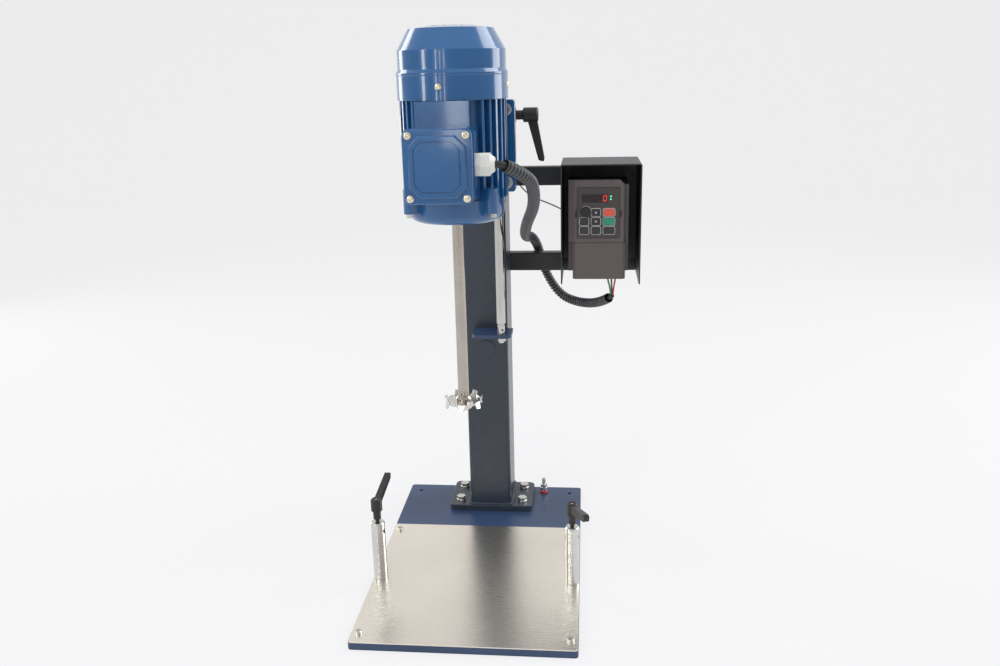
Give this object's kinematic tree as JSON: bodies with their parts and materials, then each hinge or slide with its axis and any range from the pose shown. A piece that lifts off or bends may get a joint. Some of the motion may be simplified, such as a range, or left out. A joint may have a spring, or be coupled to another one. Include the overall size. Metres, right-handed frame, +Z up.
{
  "type": "laboratory disperser",
  "caption": "Bench-top disperser: base with work sheet and column, sliding finned motor head with long shaft and toothed disc, and a hooded speed drive.",
  "frame": {"origin": "centre of the base plate's underside", "axes": "+Z up along the column, -Y to the front where the motor and the work sheet are, +X towards the speed drive"},
  "size_m": [0.389, 0.5344, 0.77],
  "materials": {
    "stand_paint": "dark slate textured paint",
    "stainless": "brushed",
    "zinc": "bright zinc",
    "turned_aluminium": "turned, bright",
    "motor_paint": "gloss blue paint",
    "core_steel": "machined",
    "polished_steel": "polished",
    "brass_screws": "yellow zinc",
    "hood_paint": "black satin paint",
    "drive_plastic": "moulded, matt",
    "black_plastic": "black, satin",
    "slide_plastic": "natural",
    "window": "dark tinted, gloss",
    "conduit_plastic": "dark grey, ribbed",
    "cable_black": "black sheath",
    "cable_grey": "grey sheath",
    "gland_nylon": "white nylon",
    "red_plastic": "red",
    "green_plastic": "green",
    "key_plastic": "dark grey"
  },
  "bodies": {
    "stand": {"base_plate": "stand_paint", "top_sheet": "stainless", "sheet_screws": "zinc", "column_foot": "stand_paint", "column": "stand_paint", "column_bolts": "zinc", "column_cap": "stand_paint", "column_plug": "black_plastic", "earth_washer": "red_plastic", "earth_stud": "zinc", "left_clamp_post": "turned_aluminium", "right_clamp_post": "turned_aluminium", "spring_shelf": "stand_paint", "gas_spring_tube": "polished_steel", "drive_arms": "stand_paint", "drive_hood": "hood_paint", "hood_screws": "zinc", "drive_body": "drive_plastic", "drive_cover": "drive_plastic", "terminal_cover": "drive_plastic", "keypad": "black_plastic", "display_window": "window", "cable_conduit": "conduit_plastic", "drive_cable": "cable_black", "control_cable": "cable_grey"},
    "carriage": {"carriage_saddle": "stand_paint", "slide_pads": "slide_plastic", "carriage_arm": "stand_paint", "foot_bolts": "zinc", "motor_housing": "motor_paint", "stator": "core_steel", "upper_end_shield": "motor_paint", "lower_end_shield": "motor_paint", "tie_bolts": "zinc", "bearings": "core_steel", "fan_cowl": "motor_paint", "cover_screws": "brass_screws", "terminal_box": "motor_paint", "terminal_box_lid": "motor_paint", "cable_gland": "gland_nylon", "motor_cable": "cable_black", "gas_spring_rod": "core_steel", "gas_spring_bracket": "stand_paint"},
    "rotor": {"motor_shaft": "stainless", "rotor_core": "core_steel", "cooling_fan": "black_plastic", "dispersing_disc": "stainless", "disc_nut": "stainless"},
    "lock_lever": {"lock_lever": "black_plastic"},
    "left_post_lever": {"left_post_lever": "black_plastic"},
    "right_post_lever": {"right_post_lever": "black_plastic"},
    "speed_knob": {"speed_knob": "black_plastic"},
    "key_up": {"key_up": "key_plastic"},
    "key_stop": {"key_stop": "red_plastic"},
    "key_program": {"key_program": "key_plastic"},
    "key_down": {"key_down": "key_plastic"},
    "key_run": {"key_run": "green_plastic"},
    "key_escape": {"key_escape": "key_plastic"},
    "key_shift": {"key_shift": "key_plastic"},
    "key_jog": {"key_jog": "key_plastic"}
  },
  "joints": [
    {"name": "carriage_slide", "type": "slide", "parent": "stand", "child": "carriage", "axis": [0, 0, 1], "range_m": [-0.17, 0], "deforming": ["cable_conduit"]},
    {"name": "rotor_spin", "type": "hinge", "parent": "carriage", "child": "rotor", "pos_m": [0, -0.128, 0.6], "axis": [0, 0, 1], "continuous": true},
    {"name": "lock_lever_turn", "type": "hinge", "parent": "carriage", "child": "lock_lever", "pos_m": [0.06, 0.187, 0.653], "axis": [1, 0, 0], "range_deg": [-100, 0]},
    {"name": "left_post_lever_turn", "type": "hinge", "parent": "stand", "child": "left_post_lever", "pos_m": [-0.1395, -0.074, 0.11], "axis": [0, 0, 1], "range_deg": [-120, 120]},
    {"name": "right_post_lever_turn", "type": "hinge", "parent": "stand", "child": "right_post_lever", "pos_m": [0.1395, -0.074, 0.11], "axis": [0, 0, 1], "range_deg": [-120, 120]},
    {"name": "knob_turn", "type": "hinge", "parent": "stand", "child": "speed_knob", "pos_m": [0.1565, 0.128, 0.513], "axis": [0, 1, 0], "range_deg": [-135, 135]},
    {"name": "key_up_press", "type": "slide", "parent": "stand", "child": "key_up", "axis": [0, 1, 0], "range_m": [0, 0.0005], "stiffness_N_per_m": 500},
    {"name": "key_stop_press", "type": "slide", "parent": "stand", "child": "key_stop", "axis": [0, 1, 0], "range_m": [0, 0.0005], "stiffness_N_per_m": 500},
    {"name": "key_program_press", "type": "slide", "parent": "stand", "child": "key_program", "axis": [0, 1, 0], "range_m": [0, 0.0005], "stiffness_N_per_m": 500},
    {"name": "key_down_press", "type": "slide", "parent": "stand", "child": "key_down", "axis": [0, 1, 0], "range_m": [0, 0.0005], "stiffness_N_per_m": 500},
    {"name": "key_run_press", "type": "slide", "parent": "stand", "child": "key_run", "axis": [0, 1, 0], "range_m": [0, 0.0005], "stiffness_N_per_m": 500},
    {"name": "key_escape_press", "type": "slide", "parent": "stand", "child": "key_escape", "axis": [0, 1, 0], "range_m": [0, 0.0005], "stiffness_N_per_m": 500},
    {"name": "key_shift_press", "type": "slide", "parent": "stand", "child": "key_shift", "axis": [0, 1, 0], "range_m": [0, 0.0005], "stiffness_N_per_m": 500},
    {"name": "key_jog_press", "type": "slide", "parent": "stand", "child": "key_jog", "axis": [0, 1, 0], "range_m": [0, 0.0005], "stiffness_N_per_m": 500}
  ]
}
